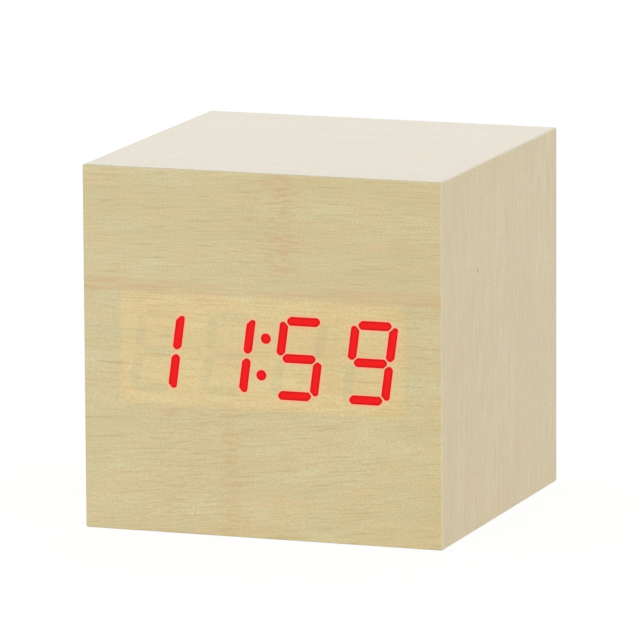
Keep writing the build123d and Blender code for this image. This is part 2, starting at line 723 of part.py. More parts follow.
cap_rear_y = plate_rear_y + BUTTON_PROUD
for name, x in zip(BUTTON_NAMES, button_x):
    with BuildPart() as cap:
        rod(BUTTON_RADIUS, (x, flange_front_y, button_z), (x, cap_rear_y, button_z))
        fillet(cap.edges().group_by(Axis.Y)[-1], BUTTON_ROUND)
        rod(BUTTON_FLANGE_RADIUS, (x, flange_front_y, button_z), (x, flange_rear_y, button_z))
        with BuildSketch(rear_view(x, cap_rear_y, button_z)):
            if name == "set":
                Circle(MARK_RADIUS)
                Circle(MARK_RADIUS - MARK_STROKE, mode=Mode.SUBTRACT)
            else:
                RegularPolygon(MARK_RADIUS, side_count=3, rotation=90 if name == "up" else -90)
        extrude(amount=-MARK_DEPTH, mode=Mode.SUBTRACT)
    save(cap, f"{name}_button")
    with BuildPart() as plunger:
        rod(PLUNGER_RADIUS, (x, plunger_front_y, button_z), (x, flange_front_y, button_z))
    save(plunger, f"{name}_plunger")

# Supply socket on the control board, its round nose flush with the back plate
jack_floor_y = plate_rear_y - JACK_BORE_DEPTH
with BuildPart() as dc_jack:
    half_side = JACK_SIDE / 2
    block(
        (jack_x - half_side, control_rear_y, button_z - half_side),
        (jack_x + half_side, flange_rear_y, button_z + half_side),
    )
    rod(JACK_NOSE_RADIUS, (jack_x, control_rear_y, button_z), (jack_x, plate_rear_y, button_z))
    rod(JACK_BORE_RADIUS, (jack_x, jack_floor_y, button_z), (jack_x, plate_rear_y, button_z), Mode.SUBTRACT)
save(dc_jack, "dc_jack")

with BuildPart() as dc_jack_pin:
    pin_end_y = jack_floor_y + JACK_PIN_LENGTH
    rod(JACK_PIN_RADIUS, (jack_x, jack_floor_y, button_z), (jack_x, pin_end_y, button_z))
    fillet(dc_jack_pin.edges().group_by(Axis.Y)[-1], JACK_PIN_RADIUS / 2)
save(dc_jack_pin, "dc_jack_pin")

# Battery tray, whose rim is cemented to the front of the back plate
terminals = ((-1, 0), (1, CELLS - 1))
with BuildPart() as battery_tray:
    block(
        (-bay_half_length - TRAY_WALL, tray_front_y, tray_bottom_z),
        (bay_half_length + TRAY_WALL, plate_front_y, tray_top_z),
    )
    block(
        (-bay_half_length, tray_floor_y, bay_bottom_z),
        (bay_half_length, plate_front_y + OVERRUN, bay_top_z),
        Mode.SUBTRACT,
    )
    for row in range(CELLS - 1):
        rib_z = cell_z[row] + cell_pitch / 2
        block(
            (-CELL_LENGTH / 2, tray_floor_y, rib_z - TRAY_RIB_WIDTH / 2),
            (CELL_LENGTH / 2, tray_floor_y + TRAY_RIB_HEIGHT, rib_z + TRAY_RIB_WIDTH / 2),
        )
    for side, row in terminals:
        half_slot = TAB_WIDTH / 2 + TAB_GAP
        block(
            (side * (contact_x - TAB_GAP), tray_front_y - OVERRUN, cell_z[row] - half_slot),
            (side * bay_half_length, tray_floor_y, cell_z[row] + half_slot),
            Mode.SUBTRACT,
        )
save(battery_tray, "battery_tray")

# Contact plates: two end in solder tabs, and two join neighbouring cells in series
bridges = [((-1) ** row, row, row + 1) for row in range(CELLS - 1)]
contact_width = cell_pitch - CONTACT_SPACE
contact_rise = CELL_DIAMETER - CONTACT_INSET
with BuildPart() as contact_plates:
    for side, first, last in bridges + [(side, row, row) for side, row in terminals]:
        block(
            (side * contact_x, tray_floor_y, cell_z[first] - contact_width / 2),
            (side * bay_half_length, tray_floor_y + contact_rise, cell_z[last] + contact_width / 2),
        )
    for side, row in terminals:
        block(
            (side * contact_x, tray_front_y - TAB_REACH, cell_z[row] - TAB_WIDTH / 2),
            (side * bay_half_length, tray_floor_y, cell_z[row] + TAB_WIDTH / 2),
        )
save(contact_plates, "contact_plates")


def cell_bar(radius, row, start, end):
    """A round bar along a cell, measured from its positive contact; every other cell lies the other way."""
    side = (-1) ** row
    rod(
        radius,
        (side * (contact_x - start), cell_y, cell_z[row]),
        (side * (contact_x - end), cell_y, cell_z[row]),
    )


sleeve_start = CELL_NUB + CELL_CAP
with BuildPart() as cell_sleeves:
    for row in range(CELLS):
        cell_bar(cell_radius, row, sleeve_start, CELL_LENGTH - CELL_BASE)
    fillet(cell_sleeves.edges().filter_by(GeomType.CIRCLE), CELL_ROUND)
save(cell_sleeves, "cell_sleeves")

with BuildPart() as cell_caps:
    for row in range(CELLS):
        cell_bar(CELL_NUB_RADIUS, row, 0, CELL_NUB)
        cell_bar(cell_radius - CELL_CAP_INSET, row, CELL_NUB, sleeve_start)
save(cell_caps, "cell_caps")

with BuildPart() as cell_bases:
    for row in range(CELLS):
        cell_bar(cell_radius - CELL_BASE_INSET, row, CELL_LENGTH - CELL_BASE, CELL_LENGTH)
save(cell_bases, "cell_bases")

# Coil springs press on the negative ends of the cells and fill the room left beside them
spring_rise = spring_room - 2 * (SPRING_WIRE_RADIUS + SPRING_END_GAP)
spring_quarters = round(4 * SPRING_TURNS)


def spring_point(row, quarter):
    """A point of the spring's wire and the way the wire runs there, after this many quarter turns."""
    share = quarter / spring_quarters
    angle = quarter * math.pi / 2
    radius = SPRING_WIDE_RADIUS + share * (SPRING_NARROW_RADIUS - SPRING_WIDE_RADIUS)
    narrowing = (SPRING_NARROW_RADIUS - SPRING_WIDE_RADIUS) / (spring_quarters * math.pi / 2)
    climb = spring_rise / (spring_quarters * math.pi / 2)
    side = -((-1) ** row)
    along = contact_x - SPRING_WIRE_RADIUS - SPRING_END_GAP - share * spring_rise
    cosine = math.cos(angle)
    sine = math.sin(angle)
    point = Vector(side * along, cell_y + radius * cosine, cell_z[row] + radius * sine)
    heading = Vector(
        -side * climb,
        narrowing * cosine - radius * sine,
        narrowing * sine + radius * cosine,
    )
    return point, heading.normalized()


def arc_meeting(start, start_heading, end, end_heading):
    """Where two arcs meet that leave the start and reach the end along their headings."""
    chord = end - start
    both = start_heading + end_heading
    bend = 2 * (1 - start_heading.dot(end_heading))
    across = chord.dot(both)
    reach = (math.sqrt(across ** 2 + bend * chord.dot(chord)) - across) / bend
    return (start + start_heading * reach + end - end_heading * reach) / 2


with BuildPart() as contact_springs:
    for row in range(CELLS):
        with BuildLine() as wire:
            for quarter in range(spring_quarters):
                start, start_heading = spring_point(row, quarter)
                end, end_heading = spring_point(row, quarter + 1)
                meeting = arc_meeting(start, start_heading, end, end_heading)
                TangentArc(start, meeting, tangent=start_heading)
                TangentArc(end, meeting, tangent=-end_heading)
        with BuildSketch(Plane(wire.line @ 0, z_dir=wire.line % 0)):
            Circle(SPRING_WIRE_RADIUS)
        sweep(path=wire.line)
save(contact_springs, "contact_springs")

# The turns of a spring are measured against each other on points at least half a turn apart
spring_points = [
    spring_point(0, sample / SPRING_SAMPLES_PER_QUARTER)[0]
    for sample in range(SPRING_SAMPLES_PER_QUARTER * spring_quarters + 1)
]
turn_gaps = [
    (first - second).length - 2 * SPRING_WIRE_RADIUS
    for place, first in enumerate(spring_points)
    for second in spring_points[place + 2 * SPRING_SAMPLES_PER_QUARTER:]
]
print(f"least gap between the turns of a spring: {min(turn_gaps):.2f} mm")

# Battery door: a plate with a round lower edge, hinge pins, grip ridges and a snap bead
with BuildPart() as battery_door:
    block((-door_half_length, door_front_y, hinge_z), (door_half_length, plate_rear_y, door_top_z))
    rod(DOOR / 2, (-door_half_length, hinge_y, hinge_z), (door_half_length, hinge_y, hinge_z))
    pin_x = door_half_length + HINGE_PIN_LENGTH
    rod(HINGE_PIN_RADIUS, (-pin_x, hinge_y, hinge_z), (pin_x, hinge_y, hinge_z))
    bead_x = SNAP_BEAD_LENGTH / 2
    rod(SNAP_BEAD_RADIUS, (-bead_x, hinge_y, door_top_z), (bead_x, hinge_y, door_top_z))
    for ridge in range(GRIP_COUNT):
        ridge_z = door_top_z - GRIP_INSET - ridge * GRIP_PITCH
        rod(GRIP_RADIUS, (-GRIP_LENGTH / 2, plate_rear_y, ridge_z), (GRIP_LENGTH / 2, plate_rear_y, ridge_z))
save(battery_door, "battery_door")

# Ribbon cable between the two boards, with a header at each end
ribbon_low_z = middle_z + RIBBON_LIFT
with BuildPart() as ribbon_headers:
    on_board(0, RIBBON_LIFT, HEADER_WIDTH, HEADER_HEIGHT, HEADER_DEPTH)
    block(
        (-HEADER_WIDTH / 2, control_front_y - HEADER_DEPTH, button_z - HEADER_HEIGHT / 2),
        (HEADER_WIDTH / 2, control_front_y, button_z + HEADER_HEIGHT / 2),
    )
save(ribbon_headers, "ribbon_headers")


def bent_path(points):
    """A run through the points with a bend at each inner one, as wide as the shorter run beside it allows."""
    runs = [Vector(*end) - Vector(*start) for start, end in zip(points, points[1:])]
    bends = [
        BEND_SHARE * min(before.length, after.length) / math.tan(math.radians(before.get_angle(after)) / 2)
        for before, after in zip(runs, runs[1:])
    ]
    with BuildLine() as path:
        FilletPolyline(*points, radius=bends)
    return path.line


ribbon_start_y = board_rear_y + HEADER_DEPTH
ribbon_end_y = control_front_y - HEADER_DEPTH
ribbon_run = RIBBON_RUN_SHARE * (ribbon_end_y - ribbon_start_y)
ribbon_path = bent_path([
    (0, ribbon_start_y, ribbon_low_z),
    (0, ribbon_start_y + ribbon_run, ribbon_low_z),
    (0, ribbon_end_y - ribbon_run, button_z),
    (0, ribbon_end_y, button_z),
])
with BuildPart() as ribbon_cable:
    with BuildSketch(Plane(ribbon_path @ 0, x_dir=(1, 0, 0), z_dir=ribbon_path % 0)):
        RectangleRounded(RIBBON_WIDTH, RIBBON_DEPTH, RIBBON_ROUND_SHARE * RIBBON_DEPTH)
    sweep(path=ribbon_path)
save(ribbon_cable, "ribbon_cable")

# Leads from the solder tabs to the control board
for name, (side, row) in zip(("negative_lead", "positive_lead"), terminals):
    tab_x = side * (bay_half_length - CONTACT / 2)
    tab_y = tray_front_y - TAB_REACH
    lead_x = side * (control_half_width - LEAD_INSET)
    lead_path = bent_path([
        (tab_x, tab_y, cell_z[row]),
        (tab_x, tab_y - LEAD_RUN, cell_z[row]),
        (lead_x, tab_y - LEAD_RUN, button_z),
        (lead_x, control_front_y, button_z),
    ])
    with BuildPart() as lead:
        with BuildSketch(Plane(lead_path @ 0, z_dir=lead_path % 0)):
            Circle(LEAD_RADIUS)
        sweep(path=lead_path)
    save(lead, name)
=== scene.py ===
import json
import math

import bmesh
import bpy
import numpy as np
from mathutils import Matrix, Vector


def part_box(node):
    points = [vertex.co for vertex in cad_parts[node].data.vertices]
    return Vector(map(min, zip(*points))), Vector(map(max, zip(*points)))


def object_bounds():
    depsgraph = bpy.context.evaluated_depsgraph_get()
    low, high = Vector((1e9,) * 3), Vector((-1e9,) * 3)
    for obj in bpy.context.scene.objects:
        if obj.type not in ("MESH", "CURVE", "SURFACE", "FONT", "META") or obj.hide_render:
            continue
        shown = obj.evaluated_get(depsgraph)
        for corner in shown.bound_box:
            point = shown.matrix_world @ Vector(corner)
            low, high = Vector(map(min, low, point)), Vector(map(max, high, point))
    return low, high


# A cube-shaped digital alarm clock in bamboo veneer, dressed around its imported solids.
# Objects are in metres; the materials read places on them in millimetres.

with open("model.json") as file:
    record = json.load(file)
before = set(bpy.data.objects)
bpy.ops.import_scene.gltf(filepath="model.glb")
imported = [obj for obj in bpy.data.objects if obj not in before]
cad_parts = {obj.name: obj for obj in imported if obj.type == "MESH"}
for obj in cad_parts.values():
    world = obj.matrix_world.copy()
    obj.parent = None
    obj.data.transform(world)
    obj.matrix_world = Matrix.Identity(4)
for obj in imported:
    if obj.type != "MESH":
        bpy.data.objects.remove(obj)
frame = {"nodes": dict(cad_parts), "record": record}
cad_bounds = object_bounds()

MM = 0.001

# Camera: its direction and distance from the middle of the case, and how the picture is framed
CAMERA_AZIMUTH = 19.532
CAMERA_ELEVATION = 10.253
CAMERA_ROLL = -0.308
CAMERA_DISTANCE = 1366.0 * MM
CAMERA_SIDEWAYS = -0.62 * MM
CAMERA_UPWARDS = 0.898 * MM
CAMERA_LENS = 447.5
CAMERA_SENSOR = 36.0
CAMERA_REACH = 100.0

# Light: an even white room, soft lamps at the front right and the rear left, and a bright screen behind
ROOM_LIGHT = 0.58
FRONT_LAMP = {"light": 1.175, "spread_degrees": 18.0, "towards": (-0.175, 0.325, -0.06)}
REAR_LAMP = {"light": 1.1, "spread_degrees": 6.0, "towards": (0.7, -0.7, -0.05)}
LAMP_PLACE = (0.0, 0.0, 1.0)
SCREEN_LIGHT = 0.38
SCREEN_WIDTH = 2.2
SCREEN_HEIGHT = 1.0
SCREEN_PLACE = (0.0, 1.6, 0.5)
FLOOR_SIZE = 8.0
FLOOR_DROP = 0.05 * MM
FLOOR_GLOW = 1.065
FLOOR_GLOW_SHARE = 0.85
FLOOR_GRAIN_RATE = (0.01, 0.01, 0.01)


def srgb(red, green, blue):
    """A screen colour, each level from 0 to 255, as the linear colour that shaders take."""
    levels = [level / 255 for level in (red, green, blue)]
    return (*[v / 12.92 if v <= 0.04045 else ((v + 0.055) / 1.055) ** 2.4 for v in levels], 1.0)


# Sockets of the node that mixes colours: the share, the two colours, and the result
MIX_SHARE, MIX_FIRST, MIX_SECOND = 0, 6, 7
MIX_RESULT = 2


class Graph:
    """Adds nodes to a tree. An input is a number, a vector, a colour or another node's output."""

    def __init__(self, tree):
        self.tree = tree

    def feed(self, socket, value):
        if isinstance(value, bpy.types.NodeSocket):
            self.tree.links.new(value, socket)
        else:
            socket.default_value = value

    def add(self, kind, *values, **settings):
        node = self.tree.nodes.new(kind)
        for name, value in settings.items():
            setattr(node, name, value)
        for socket, value in zip(node.inputs, values):
            self.feed(socket, value)
        return node

    def math(self, operation, *values):
        return self.add("ShaderNodeMath", *values, operation=operation).outputs[0]

    def total(self, first, *others):
        for other in others:
            first = self.math("ADD", first, other)
        return first

    def product(self, first, *others):
        for other in others:
            first = self.math("MULTIPLY", first, other)
        return first

    def vector(self, x, y, z):
        return self.add("ShaderNodeCombineXYZ", x, y, z).outputs[0]

    def stretched(self, vector, x, y, z):
        return self.add("ShaderNodeVectorMath", vector, (x, y, z), operation="MULTIPLY").outputs[0]

    def split(self, vector):
        return self.add("ShaderNodeSeparateXYZ", vector).outputs[:]

    def noise(self, vector, detail=2.0, roughness=0.5):
        node = self.add("ShaderNodeTexNoise")
        for name, value in (("Vector", vector), ("Scale", 1.0), ("Detail", detail), ("Roughness", roughness)):
            self.feed(node.inputs[name], value)
        return node.outputs[0]

    def ease(self, value, low, high, start=0.0, end=1.0):
        """Goes smoothly from start to end as the value goes from low to high."""
        return self.add(
            "ShaderNodeMapRange", value, low, high, start, end, interpolation_type="SMOOTHSTEP"
        ).outputs[0]

    def hump(self, value, middle, half_width):
        """1 at the middle, falling smoothly to 0 at half the width on both sides."""
        off_middle = self.math("ABSOLUTE", self.math("SUBTRACT", value, middle))
        return self.ease(off_middle, 0.0, half_width, 1.0, 0.0)

    def between(self, value, low, high, soft):
        """1 between two limits, with soft flanks."""
        rising = self.ease(value, low - soft, low + soft)
        return self.product(rising, self.ease(value, high - soft, high + soft, 1.0, 0.0))

    def mix(self, factor, first, second, blend="MIX"):
        node = self.add("ShaderNodeMix", data_type="RGBA", blend_type=blend)
        for index, value in ((MIX_SHARE, factor), (MIX_FIRST, first), (MIX_SECOND, second)):
            self.feed(node.inputs[index], value)
        return node.outputs[MIX_RESULT]

    def bump(self, height, depth):
        """A relief this many millimetres deep."""
        node = self.add("ShaderNodeBump")
        node.inputs["Strength"].default_value = 1.0
        node.inputs["Distance"].default_value = depth * MM
        self.feed(node.inputs["Height"], height)
        return node.outputs[0]

    def place(self):
        """The place on the object in millimetres, as a vector."""
        coordinates = self.add("ShaderNodeTexCoord").outputs["Object"]
        return self.stretched(coordinates, 1 / MM, 1 / MM, 1 / MM)

    def shine(self, **sockets):
        """The surface of the material; names of sockets are written with underscores."""
        shader = self.add("ShaderNodeBsdfPrincipled")
        for name, value in sockets.items():
            self.feed(shader.inputs[name.replace("_", " ")], value)
        self.finish(shader.outputs[0])

    def finish(self, surface):
        self.feed(self.add("ShaderNodeOutputMaterial").inputs["Surface"], surface)


def new_material(name):
    """An empty material and the graph that fills it."""
    material = bpy.data.materials.new(name)
    material.use_nodes = True
    material.node_tree.nodes.clear()
    return material, Graph(material.node_tree)


# Bamboo veneer under a satin lacquer
BAMBOO_PALE = srgb(226, 217, 172)
BAMBOO_DEEP = srgb(217, 206, 160)
BAMBOO_ROSY = srgb(228, 203, 157)
BAMBOO_FLECK = srgb(199, 185, 139)
BAMBOO_FIBRE = srgb(206, 191, 143)
BAMBOO_STREAK = srgb(193, 170, 123)
BAMBOO_NODE = srgb(208, 178, 130)
SPECK_TONE = srgb(138, 110, 62)
# Painted highlight laid on the rounded edges that face up
PAINTED_EDGE_HIGHLIGHT = srgb(240, 232, 212)
BAND_TONE = srgb(214, 182, 135)
# Painted glow of the lit bars: a pale rosy halo on the veneer about them
PAINTED_HALO_TONE = srgb(255, 184, 147)
LACQUER_ROUGHNESS = 0.2
LACQUER_INDEX = 1.5
VENEER_RELIEF = 0.012

# Patterns of the wood: how fast each changes along the fibres and across them, per millimetre
SWAY_RATE = (0.035, 0.06, 1.0)
TONE_RATE = (0.03, 0.16, 1.0)
BLUSH_RATE = (0.13, 0.38, 1.0)
FLECK_RATE = (2.6, 3.6, 1.0)
FIBRE_RATE = (0.14, 2.6, 1.0)
STREAK_RATE = (0.13, 3.0, 1.0)
SWAY = 1.6

# Levels between which a pattern goes from nothing to its full share of the colour
PATCH_LEVELS = (0.3, 0.7)
FIBRE_LEVELS = (0.42, 0.75)
STREAK_LEVELS = (0.52, 0.76)
BLUSH_SHARE = 0.8
FLECK_SHARE = 0.5
FIBRE_SHARE = 0.55
STREAK_SHARE = 0.5
STREAK_SINK = 0.5

# Seeds and contrasts that set the sheets apart
FRONT_SEED, UPPER_SEED, LOWER_SEED = 1.3, 3.7, 7.9
REAR_SEED, SIDE_SEED, LEVEL_SEED = 5.1, 11.3, 17.7
FRONT_CONTRAST, PLAIN_CONTRAST, LEVEL_CONTRAST = 1.15, 1.0, 0.35

# How the wood's colour shifts: towards the right of the front, on the side sheets, a painted sheen on the
# level sheets, and before the window, the painted glow of the lit bars and the unlit bars
RIGHT_TINT = (0.975, 0.965, 0.93, 1.0)
SIDE_TINT = (1.03, 0.985, 0.97, 1.0)
PAINTED_LEVEL_SHEEN = (0.975, 0.98, 1.075, 1.0)
WINDOW_TINT = (1.115, 1.045, 0.95, 1.0)
PAINTED_GLOW_TINT = (1.02, 1.0, 0.985, 1.0)
GHOST_TINT = (0.92, 0.95, 0.985, 1.0)

# Front sheet: three strips of bamboo, a brown seam, and a joint of the cane in two of the strips.
# A joint has a narrow column and, about it, a wider field of short strokes.
LOWER_SEAM_Z = 22.2
UPPER_SEAM_Z = 42.3
UPPER_SEAM_HALF = 1.1
UPPER_TILT = 0.035
LOWER_TILT = 0.1
JOINTS = (
    {
        "x": 3.8, "z": 55.0, "half_height": 9.5, "half_width": 4.2,
        "field_x": 1.5, "field_half_width": 13.0,
    },
    {
        "x": -5.8, "z": 11.0, "half_height": 11.5, "half_width": 2.6,
        "field_x": -13.0, "field_half_width": 16.0,
    },
)
JOINT_SOFT = 1.5
STROKE_RATE = (0.4, 1.9, 1.0)
SEAM_SOFT = 0.4
SEAM_RATE = (0.1, 1.6, 1.0)
SEAM_WEAK, SEAM_FULL = 6.0, 24.0
WINDOW_SOFT = 0.8
WINDOW_RISE = 0.4

# A speck in the wood of the right side
SPECK_PLACE = (-12.25, 44.5)
SPECK_RADIUS = 0.65
SPECK_SHARE = 0.8

# Painted glow of the lit bars on the veneer about them, a pale halo and a faint warm tint, and the soft edges
# of the unlit bars seen through the veneer
PAINTED_HALO_WIDTH = 0.5
PAINTED_HALO_SHARE = 0.85
PAINTED_GLOW_WIDTH = 2.5
GHOST_SOFT = 0.3

# How close corners of a mesh count as one, and the least square of a bar's length, which a dot falls under
WELD_DISTANCE = MM / 1000
LEAST_SQUARE = 1e-6


def islands(node):
    """Each separate solid of a node as its outline on the front: two ends and a radius, in millimetres."""
    shape = bmesh.new()
    shape.from_mesh(frame["nodes"][node].data)
    bmesh.ops.remove_doubles(shape, verts=shape.verts, dist=WELD_DISTANCE)
    waiting = set(shape.verts)
    found = []
    while waiting:
        reached = {waiting.pop()}
        edge = list(reached)
        while edge:
            near = {link.other_vert(vert) for vert in edge for link in vert.link_edges} & waiting
            waiting -= near
            reached |= near
            edge = list(near)
        points = np.array([(vert.co.x / MM, vert.co.z / MM) for vert in reached])
        found.append(capsule(points))
    shape.free()
    return sorted(found)


def capsule(points):
    """The ends and the radius of a rounded bar that covers the points."""
    middle = (points.min(0) + points.max(0)) / 2
    _, _, directions = np.linalg.svd(points - points.mean(0), full_matrices=False)
    reach = np.abs((points - middle) @ directions.T).max(0)
    run = directions[0] * (reach[0] - reach[1])
    return tuple(middle - run), tuple(middle + run), float(reach[1])


def capsule_group():
    """A node group that measures how far a point of the front lies from the line between two ends."""
    tree = bpy.data.node_groups.new("distance to a bar", "ShaderNodeTree")
    for name in ("Point", "Start", "End"):
        tree.interface.new_socket(name, in_out="INPUT", socket_type="NodeSocketVector")
    tree.interface.new_socket("Distance", in_out="OUTPUT", socket_type="NodeSocketFloat")
    graph = Graph(tree)
    point, start, end = graph.add("NodeGroupInput").outputs[:3]
    offset = graph.add("ShaderNodeVectorMath", point, start, operation="SUBTRACT").outputs[0]
    run = graph.add("ShaderNodeVectorMath", end, start, operation="SUBTRACT").outputs[0]
    along = graph.add("ShaderNodeVectorMath", offset, run, operation="DOT_PRODUCT").outputs["Value"]
    square = graph.add("ShaderNodeVectorMath", run, run, operation="DOT_PRODUCT").outputs["Value"]
    share = graph.math("DIVIDE", along, graph.math("MAXIMUM", square, LEAST_SQUARE))
    share = graph.math("MINIMUM", graph.math("MAXIMUM", share, 0.0), 1.0)
    foot = graph.add("ShaderNodeVectorMath", run, operation="SCALE")
    graph.feed(foot.inputs["Scale"], share)
    gap = graph.add("ShaderNodeVectorMath", offset, foot.outputs[0], operation="SUBTRACT").outputs[0]
    distance = graph.add("ShaderNodeVectorMath", gap, operation="LENGTH").outputs["Value"]
    graph.add("NodeGroupOutput", distance)
    return tree


bar_distance = capsule_group()
lit_bars = islands("lit_segments")
unlit_bars = islands("unlit_segments")


def distance_to(graph, bars, x, z):
    """How far a point of the front lies outside the nearest of the bars; below zero inside it."""
    point = graph.vector(x, 0.0, z)
    nearest = None
    for start, end, radius in bars:
        group = graph.add("ShaderNodeGroup", node_tree=bar_distance)
        for socket, value in zip(group.inputs, (point, (start[0], 0.0, start[1]), (end[0], 0.0, end[1]))):
            graph.feed(socket, value)
        outside = graph.math("SUBTRACT", group.outputs[0], radius)
        nearest = outside if nearest is None else graph.math("MINIMUM", nearest, outside)
    return nearest


def bamboo(graph, along, across, seed, contrast):
    """Colour and relief of bamboo whose fibres run along one direction, and the lines of its grain."""
    sway = graph.noise(graph.stretched(graph.vector(along, across, seed), *SWAY_RATE))
    line = graph.total(across, graph.product(sway, SWAY))
    grain = graph.vector(along, line, seed)
    tone = graph.noise(graph.stretched(grain, *TONE_RATE), detail=3.0)
    blush = graph.noise(graph.stretched(grain, *BLUSH_RATE), detail=3.0, roughness=0.6)
    fleck = graph.noise(graph.stretched(grain, *FLECK_RATE), detail=1.0)
    fibre = graph.noise(graph.stretched(grain, *FIBRE_RATE), detail=3.0, roughness=0.65)
    streak = graph.noise(graph.stretched(grain, *STREAK_RATE), detail=2.0, roughness=0.6)
    light = graph.ease(tone, *PATCH_LEVELS, 0.5 - contrast / 2, 0.5 + contrast / 2)
    colour = graph.mix(light, BAMBOO_DEEP, BAMBOO_PALE)
    for patch, share, tint in (
        (graph.ease(blush, *PATCH_LEVELS), BLUSH_SHARE, BAMBOO_ROSY),
        (graph.ease(fleck, *PATCH_LEVELS), FLECK_SHARE, BAMBOO_FLECK),
        (graph.ease(fibre, *FIBRE_LEVELS), FIBRE_SHARE * contrast, BAMBOO_FIBRE),
        (graph.ease(streak, *STREAK_LEVELS), STREAK_SHARE * contrast, BAMBOO_STREAK),
    ):
        colour = graph.mix(graph.product(patch, share), colour, tint)
    sunk = graph.ease(streak, *STREAK_LEVELS, 0.0, STREAK_SINK)
    return colour, graph.math("SUBTRACT", fibre, sunk), grain


def front_bamboo(graph, x, z):
    """The front sheet: its strips and cane joints, the window behind it, the bars that shine through and
    their glow painted on the wood about them.
    """
    upper = graph.math("GREATER_THAN", z, UPPER_SEAM_Z)
    lower = graph.math("LESS_THAN", z, LOWER_SEAM_Z)
    seed = graph.total(graph.product(upper, UPPER_SEED), graph.product(lower, LOWER_SEED), FRONT_SEED)
    tilt = graph.total(graph.product(upper, UPPER_TILT), graph.product(lower, LOWER_TILT))
    across = graph.math("SUBTRACT", z, graph.product(x, tilt))
    colour, relief, grain = bamboo(graph, x, across, seed, FRONT_CONTRAST)
    low, high = [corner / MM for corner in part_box("front_veneer")]
    colour = graph.mix(graph.ease(x, low.x, high.x), colour, RIGHT_TINT, "MULTIPLY")
    streak = graph.noise(graph.stretched(graph.vector(x, z, 0.0), *SEAM_RATE), detail=3.0)
    seam = graph.product(
        graph.between(z, UPPER_SEAM_Z - UPPER_SEAM_HALF, UPPER_SEAM_Z + UPPER_SEAM_HALF, SEAM_SOFT),
        graph.ease(streak, 0.35, 0.65, 0.15, 0.9),
        graph.ease(graph.math("ABSOLUTE", x), SEAM_WEAK, SEAM_FULL, 0.5, 1.0),
    )
    colour = graph.mix(seam, colour, BAND_TONE)
    stroke = graph.noise(graph.stretched(grain, *STROKE_RATE), detail=3.0, roughness=0.6)
    for joint in JOINTS:
        column = graph.hump(x, joint["x"], joint["half_width"])
        field = graph.hump(x, joint["field_x"], joint["field_half_width"])
        bottom, top = joint["z"] - joint["half_height"], joint["z"] + joint["half_height"]
        patch = graph.product(
            graph.between(z, bottom, top, JOINT_SOFT),
            graph.total(
                graph.product(column, graph.ease(stroke, 0.35, 0.65, 0.05, 0.4)),
                graph.product(field, graph.ease(stroke, 0.45, 0.68, 0.0, 0.5)),
            ),
        )
        colour = graph.mix(patch, colour, BAMBOO_NODE)
    low, high = [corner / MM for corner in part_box("display_reflector")]
    window = graph.product(
        graph.between(x, low.x, high.x, WINDOW_SOFT),
        graph.between(z, low.z + WINDOW_RISE, high.z + WINDOW_RISE, WINDOW_SOFT),
    )
    ghost = graph.ease(distance_to(graph, unlit_bars, x, z), -GHOST_SOFT, GHOST_SOFT, 1.0, 0.0)
    # Painted glow: the veneer about the lit bars is tinted warm and, close to them, mixed with a pale rosy
    # halo
    outside = distance_to(graph, lit_bars, x, z)
    glow = graph.ease(outside, 0.0, PAINTED_GLOW_WIDTH, 1.0, 0.0)
    for share, tint in ((window, WINDOW_TINT), (ghost, GHOST_TINT), (glow, PAINTED_GLOW_TINT)):
        colour = graph.mix(share, colour, tint, "MULTIPLY")
    return graph.mix(graph.ease(outside, 0.0, PAINTED_HALO_WIDTH, PAINTED_HALO_SHARE, 0.0), colour, PAINTED_HALO_TONE), relief


def veneer(name, is_front):
    """Veneer whose grain runs across the front, the rear and the top, and up the sides."""
    material, graph = new_material(name)
    x, y, z = graph.split(graph.place())
    if is_front:
        colour, relief = front_bamboo(graph, x, z)
    else:
        colour, relief, _ = bamboo(graph, x, z, REAR_SEED, PLAIN_CONTRAST)
    normal = graph.add("ShaderNodeTexCoord").outputs["Normal"]
    facing = graph.split(normal)
    side = (facing[0], (z, y, SIDE_SEED, PLAIN_CONTRAST), SIDE_TINT)
    # The level sheets take a less yellow tint, a painted sheen of the lacquer
    level = (facing[2], (x, y, LEVEL_SEED, LEVEL_CONTRAST), PAINTED_LEVEL_SHEEN)
    for towards, (along, across, seed, contrast), tint in (side, level):
        face_seed = graph.total(graph.math("SIGN", towards), seed)
        face_colour, face_relief, _ = bamboo(graph, along, across, face_seed, contrast)
        share = graph.ease(graph.math("ABSOLUTE", towards), 0.5, 0.85)
        colour = graph.mix(share, colour, graph.mix(1.0, face_colour, tint, "MULTIPLY"))
        relief = graph.total(
            graph.product(relief, graph.math("SUBTRACT", 1.0, share)), graph.product(face_relief, share)
        )
    offset = graph.vector(
        0.0, graph.math("SUBTRACT", y, SPECK_PLACE[0]), graph.math("SUBTRACT", z, SPECK_PLACE[1])
    )
    reach = graph.add("ShaderNodeVectorMath", offset, operation="LENGTH").outputs["Value"]
    speck = graph.product(graph.hump(reach, 0.0, SPECK_RADIUS), graph.math("GREATER_THAN", facing[0], 0.5))
    colour = graph.mix(graph.product(speck, SPECK_SHARE), colour, SPECK_TONE)
    # Painted highlight: the rounded edges that face up are lightened towards a pale tone
    flattest = graph.math("MAXIMUM", *[graph.math("ABSOLUTE", part) for part in facing[:2]])
    flattest = graph.math("MAXIMUM", flattest, graph.math("ABSOLUTE", facing[2]))
    upwards = graph.math("GREATER_THAN", facing[2], -0.05)
    edge = graph.product(graph.ease(flattest, 0.75, 0.98, 0.35, 0.0), upwards)
    colour = graph.mix(edge, colour, PAINTED_EDGE_HIGHLIGHT)
    graph.shine(
        Base_Color=colour,
        Roughness=graph.ease(relief, 0.2, 0.8, 0.5, 0.38),
        Specular_IOR_Level=0.0,
        Coat_Weight=1.0,
        Coat_Roughness=LACQUER_ROUGHNESS,
        Coat_IOR=LACQUER_INDEX,
        Normal=graph.bump(relief, VENEER_RELIEF),
    )
    return material


